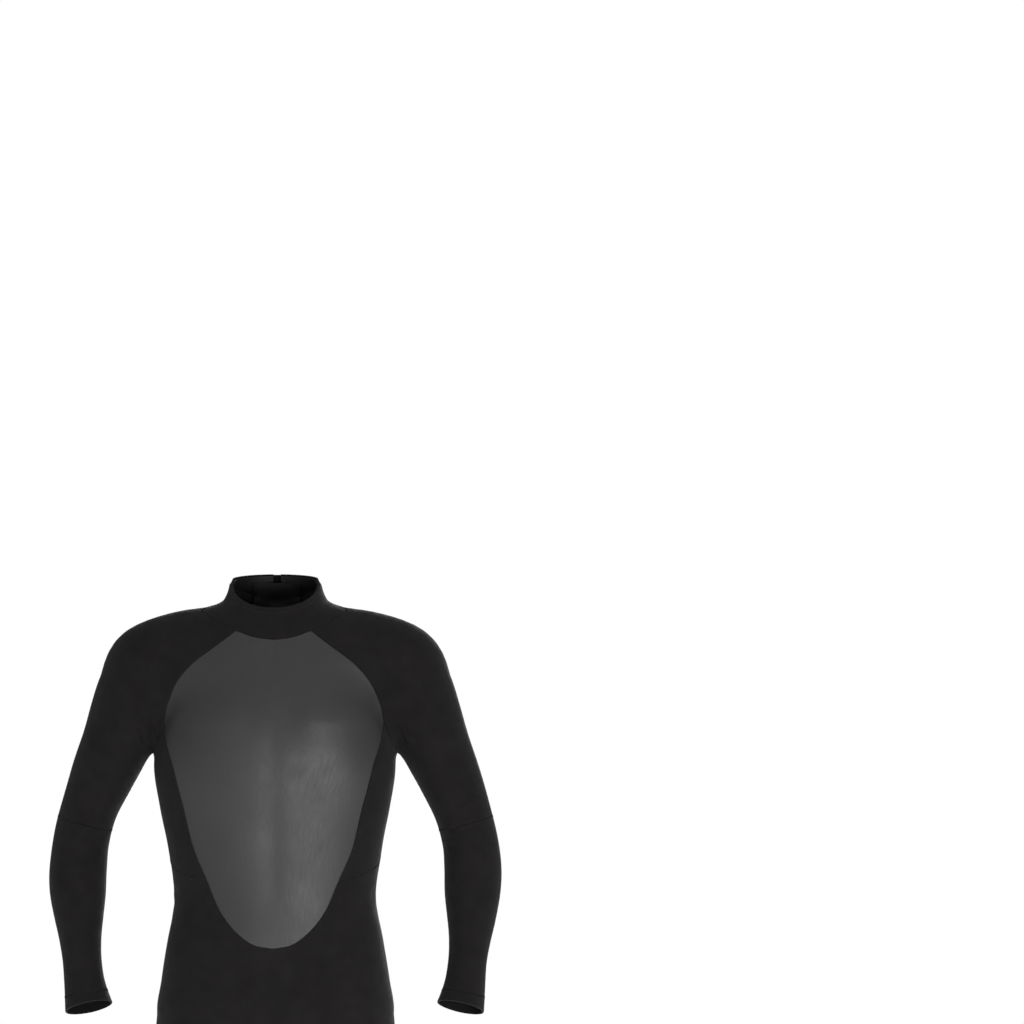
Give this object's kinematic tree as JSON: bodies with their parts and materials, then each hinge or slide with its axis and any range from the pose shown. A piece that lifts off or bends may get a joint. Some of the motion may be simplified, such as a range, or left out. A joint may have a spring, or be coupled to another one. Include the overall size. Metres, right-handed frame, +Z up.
{
  "type": "full wetsuit",
  "caption": "Full-length back-zip neoprene wetsuit in its worn shape, with smooth chest panel, raglan sleeves, overlapping collar closure and bending arms and legs.",
  "frame": {"origin": "the point inside the neck where the suit hangs, level with the front of the collar, on the middle plane", "axes": "+Z up along the body, -Y out of the chest, +X to the wearer's left"},
  "size_m": [0.6784, 0.2435, 1.4457],
  "materials": {
    "jersey": "matte",
    "smooth_skin": "satin",
    "collar_skin": "satin",
    "knee_rubber": "matte",
    "pull_rubber": "matte",
    "tape": "matte",
    "tooth_plastic": "satin",
    "slider_metal": "satin"
  },
  "bodies": {
    "root": {"chest_panel": "smooth_skin", "abdomen_panel": "jersey", "seat_panel": "jersey", "crotch_gusset": "jersey", "side_panel_left": "jersey", "side_panel_right": "jersey", "upper_back_left": "jersey", "upper_back_right": "jersey", "shoulder_panel_left": "jersey", "shoulder_panel_right": "jersey", "hip_panel_left": "jersey", "hip_panel_right": "jersey", "collar_band": "jersey", "collar_lining": "collar_skin", "collar_loop_pad": "tape", "zip_tape_left": "tape", "zip_tape_right": "tape", "zip_teeth_left": "tooth_plastic", "zip_teeth_right": "tooth_plastic", "zip_top_stop_left": "tooth_plastic", "zip_top_stop_right": "tooth_plastic", "zip_bottom_stop": "tooth_plastic", "zip_backing_flap": "collar_skin", "bar_tack_left": "tape", "bar_tack_right": "tape"},
    "upper_arm_left": {"upper_sleeve_left": "jersey", "elbow_panel_left": "jersey"},
    "forearm_left": {"forearm_panel_left": "jersey", "cuff_hem_left": "jersey"},
    "thigh_left": {"thigh_panel_left": "jersey", "knee_panel_left": "jersey", "knee_pad_left": "knee_rubber"},
    "shin_left": {"shin_panel_left": "jersey", "ankle_hem_left": "jersey"},
    "upper_arm_right": {"upper_sleeve_right": "jersey", "elbow_panel_right": "jersey"},
    "forearm_right": {"forearm_panel_right": "jersey", "cuff_hem_right": "jersey"},
    "thigh_right": {"thigh_panel_right": "jersey", "knee_panel_right": "jersey", "knee_pad_right": "knee_rubber"},
    "shin_right": {"shin_panel_right": "jersey", "ankle_hem_right": "jersey"},
    "zip_slider": {"zip_slider": "slider_metal"},
    "zip_pull": {"zip_pull_tab": "pull_rubber"},
    "collar_tab": {"collar_tab": "jersey", "collar_hook_pad": "tape"}
  },
  "joints": [
    {"name": "sleeve_swing_left", "type": "hinge", "parent": "root", "child": "upper_arm_left", "pos_m": [0.2495, 0.0075, -0.23], "axis": [0, -1, 0], "range_deg": [-5, 30], "stiffness_Nm_per_rad": 9, "deforming": ["shoulder_panel_left"]},
    {"name": "elbow_bend_left", "type": "hinge", "parent": "upper_arm_left", "child": "forearm_left", "pos_m": [0.2955, 0.0077, -0.383], "axis": [-1, 0, 0], "range_deg": [-5, 70], "stiffness_Nm_per_rad": 4, "deforming": ["elbow_panel_left"]},
    {"name": "hip_bend_left", "type": "hinge", "parent": "root", "child": "thigh_left", "pos_m": [0.0966, 0.0075, -0.738], "axis": [-1, 0, 0], "range_deg": [-10, 35], "stiffness_Nm_per_rad": 16, "deforming": ["hip_panel_left"]},
    {"name": "knee_bend_left", "type": "hinge", "parent": "thigh_left", "child": "shin_left", "pos_m": [0.106, -0.0017, -1.012], "axis": [1, 0, 0], "range_deg": [-3, 60], "stiffness_Nm_per_rad": 6, "deforming": ["knee_panel_left", "knee_pad_left"]},
    {"name": "sleeve_swing_right", "type": "hinge", "parent": "root", "child": "upper_arm_right", "pos_m": [-0.2495, 0.0075, -0.23], "axis": [0, 1, 0], "range_deg": [-5, 30], "stiffness_Nm_per_rad": 9, "deforming": ["shoulder_panel_right"]},
    {"name": "elbow_bend_right", "type": "hinge", "parent": "upper_arm_right", "child": "forearm_right", "pos_m": [-0.2955, 0.0077, -0.383], "axis": [-1, 0, 0], "range_deg": [-5, 70], "stiffness_Nm_per_rad": 4, "deforming": ["elbow_panel_right"]},
    {"name": "hip_bend_right", "type": "hinge", "parent": "root", "child": "thigh_right", "pos_m": [-0.0966, 0.0075, -0.738], "axis": [-1, 0, 0], "range_deg": [-10, 35], "stiffness_Nm_per_rad": 16, "deforming": ["hip_panel_right"]},
    {"name": "knee_bend_right", "type": "hinge", "parent": "thigh_right", "child": "shin_right", "pos_m": [-0.106, -0.0017, -1.012], "axis": [1, 0, 0], "range_deg": [-3, 60], "stiffness_Nm_per_rad": 6, "deforming": ["knee_panel_right", "knee_pad_right"]},
    {"name": "zip_slide", "type": "slide", "parent": "root", "child": "zip_slider", "axis": [0, 0.0236, -0.9997], "range_m": [0, 0.385], "deforming": ["zip_teeth_left", "zip_teeth_right"]},
    {"name": "pull_tab_swing", "type": "hinge", "parent": "zip_slider", "child": "zip_pull", "pos_m": [0, 0.09281, -0.01991], "axis": [1, 0, 0], "range_deg": [0, 150]},
    {"name": "collar_tab_peel", "type": "hinge", "parent": "root", "child": "collar_tab", "pos_m": [-0.01167, 0.07834, 0.03606], "axis": [0.0529, -0.3425, 0.938], "range_deg": [0, 120]}
  ]
}
